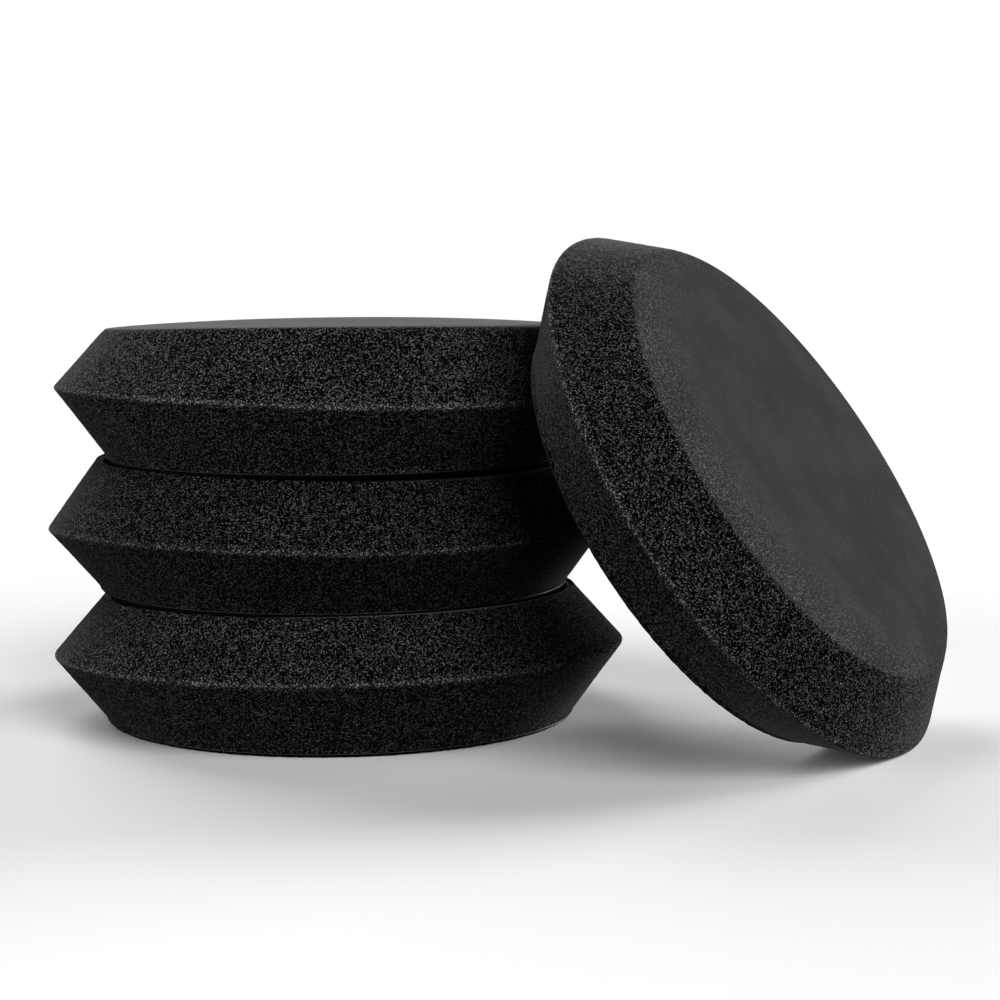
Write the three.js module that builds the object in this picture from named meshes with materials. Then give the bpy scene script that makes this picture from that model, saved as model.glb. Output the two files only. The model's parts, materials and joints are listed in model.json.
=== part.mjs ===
// A set of four round foam polishing pads for a car polisher: three lie in a stack and the fourth
// leans on it. Each pad is a disc of open-cell foam whose rim is bevelled on both sides to a ridge,
// with a loop fabric backing glued on by a thin bond film.
// Millimetres, +Z up. The origin is the centre of the bottom pad's underside, and the fourth pad
// leans on the +X side of the stack.

import * as THREE from "three";

// One pad, from its underside (height 0) up to its working face.
const PAD_HEIGHT = 33.6;
const RIM_RADIUS = 75.4; // at the ridge before its edge is rounded, which leaves 150 mm across
const RIM_HEIGHT = 18;
const FACE_RADIUS = 62; // where the upper bevel meets the working face
const BACK_RADIUS = 60.8; // of the underside
const CROWN_RADIUS = 44; // the working face is flat inside this and falls away outside it
const CROWN_DROP = 0.6;

// The backing's layers, with a small gap on each side of the bond film.
const LOOP_THICKNESS = 1;
const FILM_THICKNESS = 0.3;
const LAYER_GAP = 0.15;
const FOAM_BASE = LOOP_THICKNESS + FILM_THICKNESS + 2 * LAYER_GAP;

// How far the cut edges are rounded.
const RIDGE_ROUNDING = 1;
const FACE_EDGE_ROUNDING = 2;
const BACK_EDGE_ROUNDING = 0.5;

// The stack.
const STACK_GAP = 0.3;
const STACK_PITCH = PAD_HEIGHT + STACK_GAP;
const MIDDLE_PAD_SHIFT = [-1.5, 3.3];
const TOP_PAD_SHIFT = [0.8, 3.7];

// The leaning pad: its ridge stands on the floor, and the edge of its backing lies on the top pad.
const LEAN_FROM_UPRIGHT = THREE.MathUtils.degToRad(56.3); // between its working face's normal and +Z
const LEAN_AZIMUTH = THREE.MathUtils.degToRad(-26);
const LEAN_RIM_CENTRE = [103.95, -41.8]; // where it leaves a gap of about 0.3 mm to the top pad

// Facets.
const TURN_SEGMENTS = 64;
const ROUNDING_SEGMENTS = 3;
const CROWN_SEGMENTS = 3;

const foamMaterial = new THREE.MeshStandardMaterial({ color: 0x1c1c1c, roughness: 1, metalness: 0 });
const filmMaterial = new THREE.MeshStandardMaterial({ color: 0x3a3a3a, roughness: 0.6, metalness: 0 });
const loopMaterial = new THREE.MeshStandardMaterial({ color: 0x121212, roughness: 0.95, metalness: 0 });

// The points of an outline whose corners may be rounded. Each corner is { at: Vector2, rounding }.
function roundedOutline(corners) {
  return corners.flatMap(({ at, rounding = 0 }, i) => {
    if (rounding === 0) return [at];
    const toPrevious = corners[i - 1].at.clone().sub(at).normalize();
    const toNext = corners[i + 1].at.clone().sub(at).normalize();
    const halfAngle = Math.acos(toPrevious.dot(toNext)) / 2;
    const tangentLength = rounding / Math.tan(halfAngle);
    const centreDistance = rounding / Math.sin(halfAngle);
    const centre = toPrevious.clone().add(toNext).setLength(centreDistance).add(at);
    const first = toPrevious.multiplyScalar(tangentLength).add(at).sub(centre);
    const last = toNext.multiplyScalar(tangentLength).add(at).sub(centre);
    const sweep = Math.atan2(first.cross(last), first.dot(last));
    return Array.from({ length: ROUNDING_SEGMENTS + 1 }, (_, k) =>
      first.clone().rotateAround(new THREE.Vector2(), (sweep * k) / ROUNDING_SEGMENTS).add(centre),
    );
  });
}

// A solid turned about the pad's axis from an outline of [radius, height] corners.
function turned(name, corners, material) {
  const geometry = new THREE.LatheGeometry(roundedOutline(corners), TURN_SEGMENTS);
  geometry.rotateX(Math.PI / 2); // from the lathe's Y axis to the pad's Z axis
  const mesh = new THREE.Mesh(geometry, material);
  mesh.name = name;
  return mesh;
}

function corner(radius, height, rounding) {
  return { at: new THREE.Vector2(radius, height), rounding };
}

// The lower bevel runs straight from the ridge to the underside, through foam, film and loop fabric.
function lowerBevelRadius(height) {
  return THREE.MathUtils.mapLinear(height, 0, RIM_HEIGHT, BACK_RADIUS, RIM_RADIUS);
}

// The working face's height: flat in the middle, then a parabola down to the bevel's edge.
function faceHeight(radius) {
  const fall = (radius - CROWN_RADIUS) / (FACE_RADIUS - CROWN_RADIUS);
  return PAD_HEIGHT - CROWN_DROP * Math.max(0, fall) ** 2;
}

function foamBody(name) {
  const crown = Array.from({ length: CROWN_SEGMENTS }, (_, k) => {
    const radius = THREE.MathUtils.lerp(FACE_RADIUS, CROWN_RADIUS, (k + 1) / CROWN_SEGMENTS);
    return corner(radius, faceHeight(radius));
  });
  return turned(
    name,
    [
      corner(0, FOAM_BASE),
      corner(lowerBevelRadius(FOAM_BASE), FOAM_BASE, BACK_EDGE_ROUNDING),
      corner(RIM_RADIUS, RIM_HEIGHT, RIDGE_ROUNDING),
      corner(FACE_RADIUS, faceHeight(FACE_RADIUS), FACE_EDGE_ROUNDING),
      ...crown,
      corner(0, PAD_HEIGHT),
    ],
    foamMaterial,
  );
}

// A flat layer of the backing between two heights, its edge in line with the lower bevel.
function backingLayer(name, low, high, material) {
  return turned(
    name,
    [corner(0, low), corner(lowerBevelRadius(low), low), corner(lowerBevelRadius(high), high), corner(0, high)],
    material,
  );
}

// One whole pad, standing on its loop fabric at the group's origin.
function pad(place) {
  const filmBase = LOOP_THICKNESS + LAYER_GAP;
  const group = new THREE.Group();
  group.add(
    foamBody(place + "_pad_foam"),
    backingLayer(place + "_pad_bond_film", filmBase, filmBase + FILM_THICKNESS, filmMaterial),
    backingLayer(place + "_pad_loop_backing", 0, LOOP_THICKNESS, loopMaterial),
  );
  return group;
}

function stackedPad(place, level, [x, y]) {
  const group = pad(place);
  group.position.set(x, y, level * STACK_PITCH);
  return group;
}

function leaningPad() {
  const group = pad("leaning");
  group.rotation.set(0, LEAN_FROM_UPRIGHT, LEAN_AZIMUTH, "ZYX");
  const fromBackToRim = new THREE.Vector3(0, 0, RIM_HEIGHT).applyEuler(group.rotation);
  group.position.set(...LEAN_RIM_CENTRE, 0).sub(fromBackToRim);
  const lowestPoint = new THREE.Box3().setFromObject(group, true).min.z;
  group.position.z -= lowestPoint; // down to the floor
  return group;
}

const padSet = new THREE.Group();
padSet.add(
  stackedPad("bottom", 0, [0, 0]),
  stackedPad("middle", 1, MIDDLE_PAD_SHIFT),
  stackedPad("top", 2, TOP_PAD_SHIFT),
  leaningPad(),
);

export default padSet;
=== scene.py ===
"""The look of a set of four foam polishing pads: three in a stack and one leaning on it.

Metres, +Z up. The bottom pad stands at the origin, and the fourth pad leans on the +X side.
"""

import json
import math

import bpy
import numpy as np
from mathutils import Matrix, Vector, noise


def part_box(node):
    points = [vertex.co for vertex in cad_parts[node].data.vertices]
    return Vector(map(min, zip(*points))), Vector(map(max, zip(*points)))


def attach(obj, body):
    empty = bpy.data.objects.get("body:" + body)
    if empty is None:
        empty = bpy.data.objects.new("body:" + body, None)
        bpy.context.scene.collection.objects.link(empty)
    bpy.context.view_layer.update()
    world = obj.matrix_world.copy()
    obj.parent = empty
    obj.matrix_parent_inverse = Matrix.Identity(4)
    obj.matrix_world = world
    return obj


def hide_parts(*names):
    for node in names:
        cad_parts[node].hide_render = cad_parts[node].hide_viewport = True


MM = 0.001

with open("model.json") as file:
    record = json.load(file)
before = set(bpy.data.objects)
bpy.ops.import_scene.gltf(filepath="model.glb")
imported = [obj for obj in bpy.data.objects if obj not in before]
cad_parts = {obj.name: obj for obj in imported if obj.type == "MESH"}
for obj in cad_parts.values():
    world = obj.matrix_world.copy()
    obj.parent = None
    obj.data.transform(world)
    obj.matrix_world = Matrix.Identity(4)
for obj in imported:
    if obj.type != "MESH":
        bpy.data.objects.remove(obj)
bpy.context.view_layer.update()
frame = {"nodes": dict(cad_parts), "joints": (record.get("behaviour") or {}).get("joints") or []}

# One pad, in its own frame: +Z towards the working face, height 0 at the underside.
PAD_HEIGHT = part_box("bottom_pad_foam")[1].z
RIM_RADIUS = 75.4 * MM  # of the ridge before its edge is rounded
RIM_HEIGHT = 18 * MM
FACE_RADIUS = 62 * MM  # where the upper bevel meets the working face
BACK_RADIUS = 60.8 * MM  # of the underside
CROWN_RADIUS = 44 * MM  # the working face is flat inside this
CROWN_DROP = 0.8 * MM

# The backing's layers: thinner than their CAD solids, with almost no gap, as glued layers look.
LOOP_HEIGHT = 0.85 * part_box("bottom_pad_loop_backing")[1].z
FILM_BASE = LOOP_HEIGHT
FILM_TOP = FILM_BASE + 0.12 * MM
LAYER_CLEARANCE = 0.02 * MM

RIDGE_ROUNDING = 1.1 * MM
FACE_EDGE_ROUNDING = {"bottom": 0.9 * MM, "middle": 0.9 * MM, "top": 2.2 * MM, "leaning": 2.2 * MM}
BACK_EDGE_ROUNDING = 0.5 * MM
ROUNDING_STEPS = 6

# How far from the sharp ridge the painted highlight along it, partly the ridge's lighter cut struts, starts
# and stops fading.
RIDGE_HIGHLIGHT_LINE = (0.5 * MM, 1.3 * MM)

# The foam's mesh: points around the pad, and the spacing of points along its outline.
FOAM_TURN_POINTS = 540
FOAM_SPACING = 0.8 * MM
FACE_SPACING = 2 * MM
CROWN_POINTS = 10

# The foam's unevenness: its size, and how far below the cut surface it goes.
WAVE_SIZE = 26 * MM
WAVE_DEPTH = 0.5 * MM
GRAIN_SIZE = 1.4 * MM
GRAIN_DEPTH = 0.16 * MM

# How far the cut edges wander up and down round each pad: an amount, and a direction in degrees
# from +X towards +Y. A tilt rises on one side and sinks on the other. A saddle rises on both.
RIDGE_TILT = {
    "bottom": (2.7 * MM, -66),
    "middle": (2.5 * MM, 10),
    "top": (1.0 * MM, -110),
    "leaning": (0.0, 0),
}
RIDGE_SADDLE = {
    "bottom": (0.5 * MM, 23),
    "middle": (2.0 * MM, 40),
    "top": (1.2 * MM, 25),
    "leaning": (0.0, 0),
}

# How far the leaning pad bulges, towards which angle, and how narrow the bulge is.
LEANING_BULGE = (1.3 * MM, 22)
BULGE_NARROWNESS = 4

# Where a pad lies on another, the lower pad's face curls up outside the upper pad's backing: by
# this much for each millimetre outside it, up to a limit.
EDGE_CURL = 0.6
EDGE_CURL_LIMIT = 2.0 * MM
PAD_ABOVE = {"bottom": "middle", "middle": "top"}

# The top pad's face stands a little higher round its edge than the other pads' do.
TOP_EDGE_LIFT = 2.0 * MM
TOP_EDGE_TILT = (1.1 * MM, -90)
TOP_EDGE_SADDLE = (0.6 * MM, 90)
FLAT_RADIUS = 25 * MM  # inside which the lift dies out

PLACES = ("bottom", "middle", "top", "leaning")
JOINT_AXES = {j["child"]: Vector(j["axis"]) for j in frame["joints"]}


# ---------------------------------------------------------------- geometry


def pad_matrix(place):
    """From a pad's own frame to the row frame, as the CAD backing lies."""
    normal = JOINT_AXES["leaning_pad"].normalized() if place == "leaning" else Vector((0, 0, 1))
    points = [v.co for v in frame["nodes"][f"{place}_pad_loop_backing"].data.vertices]
    middle = sum(points, Vector()) / len(points)
    depth = min((p - middle).dot(normal) for p in points)
    turn = Vector((0, 0, 1)).rotation_difference(normal)
    return Matrix.Translation(middle + normal * depth) @ turn.to_matrix().to_4x4()


def lower_bevel_radius(height):
    return BACK_RADIUS + (RIM_RADIUS - BACK_RADIUS) * height / RIM_HEIGHT


def face_height(radius):
    fall = max(0.0, (radius - CROWN_RADIUS) / (FACE_RADIUS - CROWN_RADIUS))
    return PAD_HEIGHT - CROWN_DROP * fall**2


def rounded(corner, before, after, rounding):
    """The points of an arc of that radius that replaces a corner of an outline."""
    to_before = (before - corner).normalized()
    to_after = (after - corner).normalized()
    half_angle = math.acos(to_before.dot(to_after)) / 2
    centre = corner + (to_before + to_after).normalized() * (rounding / math.sin(half_angle))
    tangent = rounding / math.tan(half_angle)
    first = corner + to_before * tangent - centre
    sweep = (corner + to_after * tangent - centre).angle_signed(first)
    turned = [first.copy() for _ in range(ROUNDING_STEPS + 1)]
    for i, arm in enumerate(turned):
        arm.rotate(Matrix.Rotation(sweep * i / ROUNDING_STEPS, 2))
    return [centre + arm for arm in turned]


def spaced(outline, spacing):
    """The outline with points added so that none are further apart than spacing."""
    points = [outline[0]]
    for a, b in zip(outline, outline[1:]):
        steps = max(1, math.ceil((b - a).length / spacing(a)))
        points += [a.lerp(b, (i + 1) / steps) for i in range(steps)]
    return points


def foam_outline(place):
    """Radius and height from the middle of the foam's back, round the ridge, to the middle of the face."""
    base = FILM_TOP + LAYER_CLEARANCE
    back = Vector((lower_bevel_radius(base), base))
    ridge = Vector((RIM_RADIUS, RIM_HEIGHT))
    edge = Vector((FACE_RADIUS, face_height(FACE_RADIUS)))
    crown_radii = np.linspace(FACE_RADIUS, CROWN_RADIUS, CROWN_POINTS)[1:]
    crown = [Vector((r, face_height(r))) for r in crown_radii]
    outline = [Vector((0, base))]
    outline += rounded(back, outline[0], ridge, BACK_EDGE_ROUNDING)
    outline += rounded(ridge, back, edge, RIDGE_ROUNDING)
    outline += rounded(edge, ridge, crown[0], FACE_EDGE_ROUNDING[place])
    outline += crown[1:] + [Vector((0, PAD_HEIGHT))]
    return spaced(outline, lambda p: FACE_SPACING if p.x < CROWN_RADIUS + MM else FOAM_SPACING)


def revolved(name, outline, turn_points):
    """A piece whose closed mesh is turned about Z from an outline that starts and ends on the axis."""
    radii = np.array([p.x for p in outline[1:-1]])
    heights = np.array([p.y for p in outline[1:-1]])
    angles = np.arange(turn_points) * 2 * math.pi / turn_points
    ring = np.stack([np.cos(angles), np.sin(angles)], axis=1)
    flat = (radii[:, None, None] * ring[None]).reshape(-1, 2)
    sides = np.column_stack([flat, np.repeat(heights, turn_points)])
    points = np.vstack([sides, [[0, 0, outline[0].y], [0, 0, outline[-1].y]]])

    rows = len(radii)
    bottom, top = rows * turn_points, rows * turn_points + 1
    here = np.arange(turn_points)
    after = (here + 1) % turn_points
    faces = [(int(bottom), int(b), int(a)) for a, b in zip(here, after)]
    for row in range(rows - 1):
        low, high = row * turn_points, (row + 1) * turn_points
        faces += [(int(low + a), int(low + b), int(high + b), int(high + a)) for a, b in zip(here, after)]
    last = (rows - 1) * turn_points
    faces += [(int(top), int(last + a), int(last + b)) for a, b in zip(here, after)]

    mesh = bpy.data.meshes.new(name)
    mesh.from_pydata(points.tolist(), [], faces)
    mesh.polygons.foreach_set("use_smooth", [True] * len(mesh.polygons))
    piece = bpy.data.objects.new(name, mesh)
    bpy.context.scene.collection.objects.link(piece)
    return piece


def vertex_array(vertices, field="co"):
    values = np.zeros(len(vertices) * 3, np.float32)
    vertices.foreach_get(field, values)
    return values.reshape(-1, 3)


def set_vertices(mesh, points):
    mesh.vertices.foreach_set("co", points.astype(np.float32).ravel())
    mesh.update()


def noise_at(points, size, seed):
    """Smooth noise from -1 to 1 at each point, with lumps of that size."""
    shift = Vector((seed * 7.3, seed * 3.1, seed * 5.7))
    return np.array([noise.noise(Vector(p) / size + shift) for p in points])


def roughen(mesh, seed, keep_flat):
    """Wears the surface down by low waves and fine grain. keep_flat is 0 to 1 at each vertex."""
    points = vertex_array(mesh.vertices)
    normals = vertex_array(mesh.vertex_normals, "vector")
    depth = WAVE_DEPTH * (1 - noise_at(points, WAVE_SIZE, seed)) / 2
    depth += GRAIN_DEPTH * (1 - noise_at(points, GRAIN_SIZE, seed)) / 2
    set_vertices(mesh, points - normals * (depth * (1 - keep_flat))[:, None])


def wander(points, tilt, saddle):
    """How far an edge rises at each point, by a tilt and a saddle."""
    around = np.arctan2(points[:, 1], points[:, 0])
    tilt_amount, tilt_turn = tilt
    saddle_amount, saddle_turn = saddle
    rise = tilt_amount * np.cos(around - math.radians(tilt_turn))
    return rise + saddle_amount * np.cos(2 * (around - math.radians(saddle_turn)))


def curl(points, radius, place):
    """How far a covered pad's face rises at each point, outside the backing of the pad above it."""
    above = PAD_ABOVE[place]
    centre = (pad_matrix(above).translation - pad_matrix(place).translation).xy
    on_face = points[:, :2] * np.minimum(1, FACE_RADIUS / np.maximum(radius, MM))[:, None]
    outside = np.hypot(*(on_face - np.array(centre)).T) - BACK_RADIUS
    return np.clip(EDGE_CURL * outside, 0, EDGE_CURL_LIMIT)


def settle(mesh, place):
    """Moves the ridge and the face's edge up and down, with straight bevels, and bulges the leaning pad."""
    points = vertex_array(mesh.vertices)
    radius, height = np.hypot(points[:, 0], points[:, 1]), points[:, 2]
    face_edge = face_height(FACE_RADIUS)
    up_bevel = np.clip((height - RIM_HEIGHT) / (face_edge - RIM_HEIGHT), 0, 1)
    down_bevel = np.clip((RIM_HEIGHT - height) / (RIM_HEIGHT - FILM_TOP), 0, 1)
    on_ridge = 1 - np.maximum(up_bevel, down_bevel)
    rise = on_ridge * wander(points, RIDGE_TILT[place], RIDGE_SADDLE[place])
    if place == "top":
        near_edge = smooth_step(FLAT_RADIUS, FACE_RADIUS, radius) * up_bevel
        rise += near_edge * (TOP_EDGE_LIFT + wander(points, TOP_EDGE_TILT, TOP_EDGE_SADDLE))
    if place in PAD_ABOVE:
        rise += up_bevel * curl(points, radius, place)
    points[:, 2] += rise
    if place == "leaning":
        bulge, turn = LEANING_BULGE
        towards = np.cos(np.arctan2(points[:, 1], points[:, 0]) - math.radians(turn))
        points[:, :2] *= 1 + bulge / RIM_RADIUS * np.maximum(0, towards)[:, None] ** BULGE_NARROWNESS
    set_vertices(mesh, points)


def add_mask(mesh, name, values):
    attribute = mesh.attributes.new(name, "FLOAT", "POINT")
    attribute.data.foreach_set("value", values.astype(np.float32))


def smooth_step(low, high, values):
    t = np.clip((values - low) / (high - low), 0, 1)
    return t * t * (3 - 2 * t)


# ---------------------------------------------------------------- materials

# The foam's cells. The working face is skimmed smoother towards its middle.
CELL_SIZE = 0.34 * MM
STRUT_FADE = (0.2, 0.75)  # how far from a cell's middle its strut starts and stops fading, in cells
CONTRAST_POWER = 3.0
FOAM_BUMP = {"Strength": 0.6, "Distance": 0.15 * MM}
SKIM_BUMP_SHARE = 0.15
# Painted glints: the share of cells whose struts get a painted highlight.
PAINTED_GLINT_SHARE = (0.9992, 0.9997)

# The greys of the foam's parts.
PORE_GREY = 0.0005
STRUT_GREY = 0.22
FACE_PORE_GREY = 0.021
FACE_STRUT_GREY = 0.22
SKIM_GREY = 0.034
SKIM_STRUT_GREY = 0.023
# A painted highlight along the ridge, partly its lighter cut struts.
RIDGE_HIGHLIGHT_GREY = 0.012
RIDGE_HIGHLIGHT_STRUT_GREY = 0.25
# The grey of the painted highlight on those few struts.
PAINTED_GLINT_GREY = 0.4
# Painted shade of the seam on a face that another pad lies on, darkest towards its edge, and a lighter
# middle that is partly painted sheen.
SEAM_SHADE_GREY = 0.006
SEAM_SHADE_STRUT_GREY = 0.02
FACE_GREY_WITH_PAINTED_SHEEN = 0.055
FACE_STRUT_GREY_WITH_PAINTED_SHEEN = 0.04
COVERED_FACE_BUMP = {"Strength": 0.4, "Distance": 0.1 * MM}

# Soft clouds that vary a grey, and the part of their noise that does so.
CLOUD_RANGE = (0.3, 0.7)
FOAM_CLOUD_SIZE = 16 * MM
FOAM_CLOUD_GAIN = (0.88, 1.12)

# The loop fabric's pile, in knitted rows.
LOOP_SIZE = 0.8 * MM
LOOP_FADE = (0.1, 0.6)
LOOP_LOW = 0.3
FUZZ_SIZE = 0.35 * MM
LOOP_CLOUD_SIZE = 9 * MM
WAVE_TURN = math.tau / 20  # the wave texture's period at a scale of 1
KNIT_PITCH = 1.3 * MM
KNIT_DISTORTION = 2.5
KNIT_LOW = 0.55
# Painted shade of the seam between pads, on the fabric round its edge; inside it has its plain grey.
LOOP_EDGE_SHADE_GREY = (0.008, 0.014)
LOOP_PLAIN_GREY = (0.07, 0.11)
LOOP_BUMP = {"Strength": 0.8, "Distance": 0.3 * MM}

# The bond film.
FILM_CLOUD_SIZE = 2 * MM
FILM_GREY = (0.015, 0.03)
FILM_BUMP = {"Strength": 0.4, "Distance": 0.1 * MM}

MATTE = {"Roughness": 1.0, "Specular IOR Level": 0.0}
FOAM_FINISH = {**MATTE, "Sheen Weight": 0.15, "Sheen Roughness": 0.3}
LOOP_FINISH = {**MATTE, "Roughness": 0.9, "Sheen Weight": 0.06, "Sheen Roughness": 0.4}
FILM_FINISH = {"Roughness": 0.5}
FLOOR_FINISH = {**MATTE, "Roughness": 0.9}


def new_material(name):
    material = bpy.data.materials.new(name)
    material.use_nodes = True
    nodes = material.node_tree.nodes
    nodes.clear()
    shader = nodes.new("ShaderNodeBsdfPrincipled")
    output = nodes.new("ShaderNodeOutputMaterial")
    material.node_tree.links.new(shader.outputs["BSDF"], output.inputs["Surface"])
    return material, shader


class Nodes:
    """Short names for the nodes of one new material, and for its shader's sockets."""

    def __init__(self, name, finish):
        self.material, self.shader = new_material(name)
        self.tree = self.material.node_tree
        for socket, value in finish.items():
            self.shader.inputs[socket].default_value = value

    def add(self, kind, inputs=(), **settings):
        node = self.tree.nodes.new(kind)
        for key, value in settings.items():
            setattr(node, key, value)
        for key, value in dict(inputs).items():
            if isinstance(value, bpy.types.NodeSocket):
                self.tree.links.new(value, node.inputs[key])
            else:
                node.inputs[key].default_value = value
        return node

    def math(self, operation, *values):
        node = self.add("ShaderNodeMath", dict(enumerate(values)), operation=operation)
        return node.outputs[0]

    def ramp(self, value, low, high, to_low=0.0, to_high=1.0):
        node = self.add(
            "ShaderNodeMapRange",
            {"Value": value, "From Min": low, "From Max": high, "To Min": to_low, "To Max": to_high},
            interpolation_type="SMOOTHSTEP",
        )
        return node.outputs["Result"]

    def mix(self, share, plain, other):
        node = self.add("ShaderNodeMix", {"Factor": share, "A": plain, "B": other}, data_type="FLOAT")
        return node.outputs["Result"]

    def clouds(self, noise_value, grey):
        return self.ramp(noise_value, *CLOUD_RANGE, *grey)

    def noise(self, place, size, detail):
        inputs = {"Vector": place, "Scale": 1 / size, "Detail": detail}
        return self.add("ShaderNodeTexNoise", inputs).outputs["Fac"]

    def cells(self, place):
        """The foam's cells: each one's random colour, and how much of its strut shows at a point."""
        inputs = {"Vector": place, "Scale": 1 / CELL_SIZE, "Randomness": 1.0}
        cell = self.add("ShaderNodeTexVoronoi", inputs)
        return cell.outputs["Color"], self.ramp(cell.outputs["Distance"], *STRUT_FADE, 1.0, 0.0)

    def colour(self, value):
        grey = self.add("ShaderNodeCombineColor", {"Red": value, "Green": value, "Blue": value})
        self.tree.links.new(grey.outputs["Color"], self.shader.inputs["Base Color"])

    def bump(self, height, settings):
        bump = self.add("ShaderNodeBump", {"Height": height, **settings})
        self.tree.links.new(bump.outputs["Normal"], self.shader.inputs["Normal"])

    def position(self):
        return self.add("ShaderNodeTexCoord").outputs["Object"]

    def mask(self, name):
        return self.add("ShaderNodeAttribute", attribute_name=name).outputs["Fac"]


def foam_material():
    """Open-cell foam: each cell shows as a strut of its own brightness with dark pores round it, with
    painted glints, a painted highlight along the ridge and each pad's painted light and shade.
    """
    n = Nodes("foam", FOAM_FINISH)
    place = n.position()
    own_colour, wall = n.cells(place)
    own = n.add("ShaderNodeSeparateColor", {"Color": own_colour}).outputs
    strut = n.math("MULTIPLY", wall, own["Red"])
    contrast = n.math("MULTIPLY", wall, n.math("POWER", own["Red"], CONTRAST_POWER))
    # A painted highlight on the struts of a few cells, left out where the face is skimmed.
    painted_glint = n.math("MULTIPLY", wall, n.ramp(own["Green"], *PAINTED_GLINT_SHARE))

    skim = n.mask("skim")
    bevel_grey = n.math("MULTIPLY_ADD", contrast, STRUT_GREY, PORE_GREY)
    face_grey = n.math("MULTIPLY_ADD", contrast, FACE_STRUT_GREY, FACE_PORE_GREY)
    rough_grey = n.mix(n.mask("face"), bevel_grey, face_grey)
    skimmed_grey = n.mix(skim, rough_grey, n.math("MULTIPLY_ADD", strut, SKIM_STRUT_GREY, SKIM_GREY))
    # A painted highlight along the ridge, partly its lighter cut struts.
    ridge_highlight_gain = n.math("MULTIPLY_ADD", contrast, RIDGE_HIGHLIGHT_STRUT_GREY, RIDGE_HIGHLIGHT_GREY)
    with_ridge_highlight = n.math("MULTIPLY_ADD", n.mask("ridge"), ridge_highlight_gain, skimmed_grey)
    painted_glint_grey = n.math("MULTIPLY_ADD", skim, -PAINTED_GLINT_GREY, PAINTED_GLINT_GREY)
    with_painted_glints = n.math("MULTIPLY_ADD", painted_glint, painted_glint_grey, with_ridge_highlight)
    # Each pad's gain of painted light and shade.
    with_painted_light_and_shade = n.math("MULTIPLY", with_painted_glints, n.mask("painted_light_and_shade"))
    n.colour(n.math("MULTIPLY", with_painted_light_and_shade, n.clouds(n.noise(place, FOAM_CLOUD_SIZE, 3.0), FOAM_CLOUD_GAIN)))
    n.bump(n.math("MULTIPLY", strut, n.ramp(skim, 0.0, 1.0, 1.0, SKIM_BUMP_SHARE)), FOAM_BUMP)
    return n.material


def seam_shaded_foam_material():
    """The faces that other pads lie on, without sheen: painted shade of the seam under the pad above darkens
    them towards the edge, and their middle is lighter, partly as painted sheen.
    """
    n = Nodes("seam_shaded_foam", MATTE)
    _, wall = n.cells(n.position())
    seam_shade_grey = n.math("MULTIPLY_ADD", wall, SEAM_SHADE_STRUT_GREY, SEAM_SHADE_GREY)
    face_grey_with_sheen = n.math("MULTIPLY_ADD", wall, FACE_STRUT_GREY_WITH_PAINTED_SHEEN, FACE_GREY_WITH_PAINTED_SHEEN)
    n.colour(n.math("MULTIPLY", n.mix(n.mask("painted_seam_shade"), face_grey_with_sheen, seam_shade_grey), n.mask("painted_light_and_shade")))
    n.bump(wall, COVERED_FACE_BUMP)
    return n.material


def loop_material():
    """Brushed loop fabric: a soft nap of tiny loops over knitted rows, with painted shade of the seam
    between pads darkening it round its edge.
    """
    n = Nodes("loop_fabric", LOOP_FINISH)
    place = n.position()
    loops = n.add("ShaderNodeTexVoronoi", {"Vector": place, "Scale": 1 / LOOP_SIZE}, feature="SMOOTH_F1")
    knit = {"Scale": WAVE_TURN / KNIT_PITCH, "Distortion": KNIT_DISTORTION, "Detail": 2.0}
    rows = n.add("ShaderNodeTexWave", {"Vector": place, **knit}).outputs["Fac"]
    loop = n.ramp(loops.outputs["Distance"], *LOOP_FADE, 1.0, LOOP_LOW)
    pile = n.math("MULTIPLY", loop, n.noise(place, FUZZ_SIZE, 3.0))
    nap = n.math("MULTIPLY", pile, n.ramp(rows, 0.0, 1.0, KNIT_LOW, 1.0))
    cloud = n.noise(place, LOOP_CLOUD_SIZE, 2.0)
    edge_shade_grey = n.math("MULTIPLY", nap, n.clouds(cloud, LOOP_EDGE_SHADE_GREY))
    plain_grey = n.math("MULTIPLY", nap, n.clouds(cloud, LOOP_PLAIN_GREY))
    n.colour(n.mix(n.mask("clear_of_edge_shade"), edge_shade_grey, plain_grey))
    n.bump(nap, LOOP_BUMP)
    return n.material


def film_material():
    """Hot-melt adhesive: a thin dark grey layer, slightly glossy and uneven."""
    n = Nodes("bond_film", FILM_FINISH)
    cloud = n.noise(n.position(), FILM_CLOUD_SIZE, 3.0)
    n.colour(n.clouds(cloud, FILM_GREY))
    n.bump(cloud, FILM_BUMP)
    return n.material


def floor_material():
    """Plain pale paper: it looks white, but throws back only part of the light onto the pads."""
    n = Nodes("floor", FLOOR_FINISH)
    seen = n.add("ShaderNodeLightPath").outputs["Is Camera Ray"]
    n.colour(n.mix(seen, FLOOR_BOUNCE, FLOOR_GREY))
    return n.material


# ---------------------------------------------------------------- the pads


# Where the foam's looks change: how far below its edge the face counts as face, and the radii
# and distances over which the masks fade.
FACE_EDGE_DEPTH = 1.0 * MM
FACE_FADE = 1.0 * MM
# On the bottom and middle pads the face's look starts further in, so the narrow ledge in the seam under the
# pad above keeps the darker bevel grey as painted shade.
FACE_START = {"bottom": BACK_RADIUS, "middle": BACK_RADIUS, "top": FACE_RADIUS, "leaning": FACE_RADIUS}
SKIM_CENTRE = (6 * MM, 12 * MM)
SKIM_FADE = (46 * MM, 74 * MM)
BACK_FADE = 0.6 * MM
FACE_FLATNESS = 0.9  # how much of the unevenness is left out on the face
# The radii over which the painted seam shade comes in on a covered face.
SEAM_SHADE_FADE = (50 * MM, 57.5 * MM)
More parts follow.
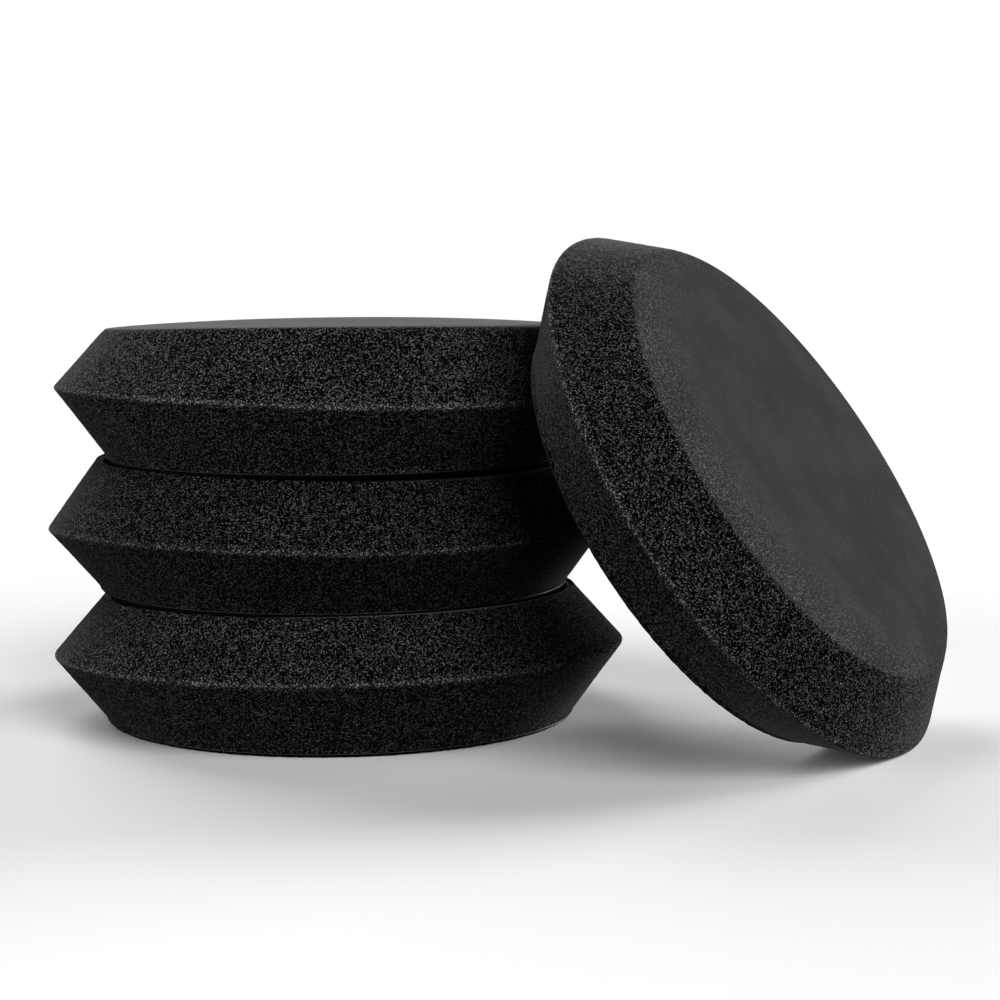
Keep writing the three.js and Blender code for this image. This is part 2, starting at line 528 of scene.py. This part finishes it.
# Painted light and shade: a gain on each pad's greys, the middle pad darker for the shade of the pads round
# it and the top pad lighter for the light it catches.
PAD_LIGHT_AND_SHADE_GAIN = {"bottom": 1.0, "middle": 0.8, "top": 1.2, "leaning": 1.0}


def add_foam_masks(mesh, place):
    """Marks where the foam's looks change, with its painted light and shade. Gives the masks of face and
    back, and what a pad above covers.
    """
    points = vertex_array(mesh.vertices)
    radius, height = np.hypot(points[:, 0], points[:, 1]), points[:, 2]
    above_edge = height > face_height(FACE_RADIUS) - FACE_EDGE_DEPTH
    face_start = FACE_START[place]
    in_face = above_edge * (1 - smooth_step(face_start - FACE_FADE, face_start, radius))
    to_skim = np.hypot(points[:, 0] - SKIM_CENTRE[0], points[:, 1] - SKIM_CENTRE[1])
    to_ridge = np.hypot(radius - RIM_RADIUS, height - RIM_HEIGHT)
    add_mask(mesh, "face", in_face)
    add_mask(mesh, "skim", above_edge * (1 - smooth_step(*SKIM_FADE, to_skim)))
    # Each pad's gain of painted light and shade.
    add_mask(mesh, "painted_light_and_shade", np.full(len(points), PAD_LIGHT_AND_SHADE_GAIN[place]))
    # The ridge's mask, where its painted highlight goes.
    add_mask(mesh, "ridge", 1 - smooth_step(*RIDGE_HIGHLIGHT_LINE, to_ridge))
    # On a covered pad, painted shade of the seam darkens the face towards its edge.
    if place in PAD_ABOVE:
        add_mask(mesh, "painted_seam_shade", smooth_step(*SEAM_SHADE_FADE, radius))
    in_back = 1 - smooth_step(0, BACK_FADE, height - FILM_TOP)
    return in_face, in_back, above_edge & (radius < BACK_RADIUS)


def make_foam(place, matrix, material, painted_seam_shade):
    piece = revolved(f"{place}_foam", foam_outline(place), FOAM_TURN_POINTS)
    mesh = piece.data
    in_face, in_back, covered = add_foam_masks(mesh, place)
    settle(mesh, place)
    roughen(mesh, PLACES.index(place) + 1, np.maximum(in_back, FACE_FLATNESS * in_face))
    mesh.transform(matrix)
    mesh.materials.append(material)
    # The covered face takes the foam with painted seam shade.
    if place in PAD_ABOVE:
        mesh.materials.append(painted_seam_shade)
        slots = [int(covered[face.vertices[0]]) for face in mesh.polygons]
        mesh.polygons.foreach_set("material_index", slots)
    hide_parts(f"{place}_pad_foam")
    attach(piece, f"{place}_pad")


LOOP_TURN_POINTS = 360
LOOP_SPACING = 1.2 * MM
LOOP_EDGE_ROUNDING = 0.45 * MM
NAP_SIZE = 1.1 * MM
NAP_DEPTH = 0.16 * MM
NAP_SEED = 20
GLUED_DEPTH = 0.3 * MM  # the nap dies out over this depth below the bond film
EDGE_SHADE_FADE = (0.3 * MM, 2.5 * MM)  # how far in from its edge the painted shade of the seam fades out


def loop_outline():
    """Radius and height of the loop fabric's section, with a soft edge."""
    top = FILM_BASE - LAYER_CLEARANCE
    low = Vector((lower_bevel_radius(0), NAP_DEPTH))
    high = Vector((lower_bevel_radius(top), top))
    outline = [Vector((0, NAP_DEPTH))]
    outline += rounded(low, outline[0], high, LOOP_EDGE_ROUNDING)
    outline += [high, Vector((0, top))]
    return spaced(outline, lambda p: LOOP_SPACING)


def make_loop_backing(place, matrix, material):
    piece = revolved(f"{place}_loop_fabric", loop_outline(), LOOP_TURN_POINTS)
    mesh = piece.data
    points = vertex_array(mesh.vertices)
    normals = vertex_array(mesh.vertex_normals, "vector")
    glued = smooth_step(0, GLUED_DEPTH, points[:, 2] - (LOOP_HEIGHT - GLUED_DEPTH))
    from_edge = lower_bevel_radius(0) - np.hypot(points[:, 0], points[:, 1])
    # Painted shade of the seam round the fabric's edge, fading out inwards.
    add_mask(mesh, "clear_of_edge_shade", smooth_step(*EDGE_SHADE_FADE, from_edge))
    nap = NAP_DEPTH * noise_at(points, NAP_SIZE, PLACES.index(place) + NAP_SEED)
    set_vertices(mesh, points + normals * (nap * (1 - glued))[:, None])
    finish_layer(piece, place, matrix, material, "loop_backing")


def make_film(place, matrix, material):
    low, high = (Vector((lower_bevel_radius(height), height)) for height in (FILM_BASE, FILM_TOP))
    outline = [Vector((0, FILM_BASE)), low, high, Vector((0, FILM_TOP))]
    piece = revolved(f"{place}_bond_film", outline, LOOP_TURN_POINTS)
    finish_layer(piece, place, matrix, material, "bond_film")


def finish_layer(piece, place, matrix, material, node):
    """Puts a layer of the backing in its place under the foam, hides the CAD part it stands for, and
    attaches it to its pad.
    """
    piece.data.transform(matrix)
    piece.data.materials.append(material)
    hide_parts(f"{place}_pad_{node}")
    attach(piece, f"{place}_pad")


def make_pads():
    foam, painted_seam_shade, loop, film = foam_material(), seam_shaded_foam_material(), loop_material(), film_material()
    for place in PLACES:
        matrix = pad_matrix(place)
        make_foam(place, matrix, foam, painted_seam_shade)
        make_film(place, matrix, film)
        make_loop_backing(place, matrix, loop)


# ---------------------------------------------------------------- the studio

CAMERA_PLACE = Vector((42.6, -681.9, 130.0)) * MM
CAMERA_PITCH = math.radians(6.18)  # below the horizon
CAMERA_ROLL = math.radians(-0.4)
CAMERA_LENS = 93.6
SENSOR_WIDTH = 36


def make_camera():
    data = bpy.data.cameras.new("camera")
    data.lens = CAMERA_LENS
    data.sensor_width = SENSOR_WIDTH
    data.clip_start = 0.01
    camera = bpy.data.objects.new("camera", data)
    camera.location = CAMERA_PLACE
    tilt = Matrix.Rotation(math.pi / 2 - CAMERA_PITCH, 4, "X")
    roll = Matrix.Rotation(CAMERA_ROLL, 4, "Z")
    camera.rotation_euler = (tilt @ roll).to_euler()
    bpy.context.scene.collection.objects.link(camera)
    bpy.context.scene.camera = camera


FLOOR_SIZE = 60.0
FLOOR_GREY = 0.98  # as the camera sees it
FLOOR_BOUNCE = 0.1  # as it lights the pads
LIGHT_SPREAD = math.radians(40)


def make_floor():
    half = FLOOR_SIZE / 2
    mesh = bpy.data.meshes.new("floor")
    corners = [(-half, -half, 0), (half, -half, 0), (half, half, 0), (-half, half, 0)]
    mesh.from_pydata(corners, [], [(0, 1, 2, 3)])
    mesh.materials.append(floor_material())
    floor = bpy.data.objects.new("floor", mesh)
    bpy.context.scene.collection.objects.link(floor)


def soft_light(name, azimuth, elevation, strength):
    """A distant soft box. The azimuth is turned from +X towards +Y, in degrees like the elevation."""
    data = bpy.data.lights.new(name, "SUN")
    data.angle = LIGHT_SPREAD
    data.energy = strength
    light = bpy.data.objects.new(name, data)
    turn = math.radians(azimuth)
    rise = math.radians(elevation)
    towards = Vector((math.cos(turn) * math.cos(rise), math.sin(turn) * math.cos(rise), math.sin(rise)))
    light.rotation_euler = towards.to_track_quat("Z", "Y").to_euler()
    bpy.context.scene.collection.objects.link(light)


def make_world(seen, lighting):
    """A plain surround: how bright the camera sees it, and how brightly it lights the pads."""
    world = bpy.data.worlds.new("studio")
    world.use_nodes = True
    tree = world.node_tree
    tree.nodes.clear()
    path = tree.nodes.new("ShaderNodeLightPath")
    mix = tree.nodes.new("ShaderNodeMixShader")
    output = tree.nodes.new("ShaderNodeOutputWorld")
    tree.links.new(path.outputs["Is Camera Ray"], mix.inputs[0])
    for socket, strength in ((1, lighting), (2, seen)):
        background = tree.nodes.new("ShaderNodeBackground")
        background.inputs["Color"].default_value = (1, 1, 1, 1)
        background.inputs["Strength"].default_value = strength
        tree.links.new(background.outputs[0], mix.inputs[socket])
    tree.links.new(mix.outputs[0], output.inputs["Surface"])
    bpy.context.scene.world = world


def make_light():
    soft_light("back_left", azimuth=120, elevation=35, strength=1.8)
    soft_light("front_left", azimuth=-150, elevation=12, strength=1.3)
    soft_light("back_right", azimuth=30, elevation=12, strength=3.9)
    soft_light("front_right", azimuth=-60, elevation=35, strength=1.9)
    make_world(seen=1.0, lighting=0.01)
    bpy.context.scene.view_settings.view_transform = "Standard"


make_camera()
make_pads()
make_floor()
make_light()
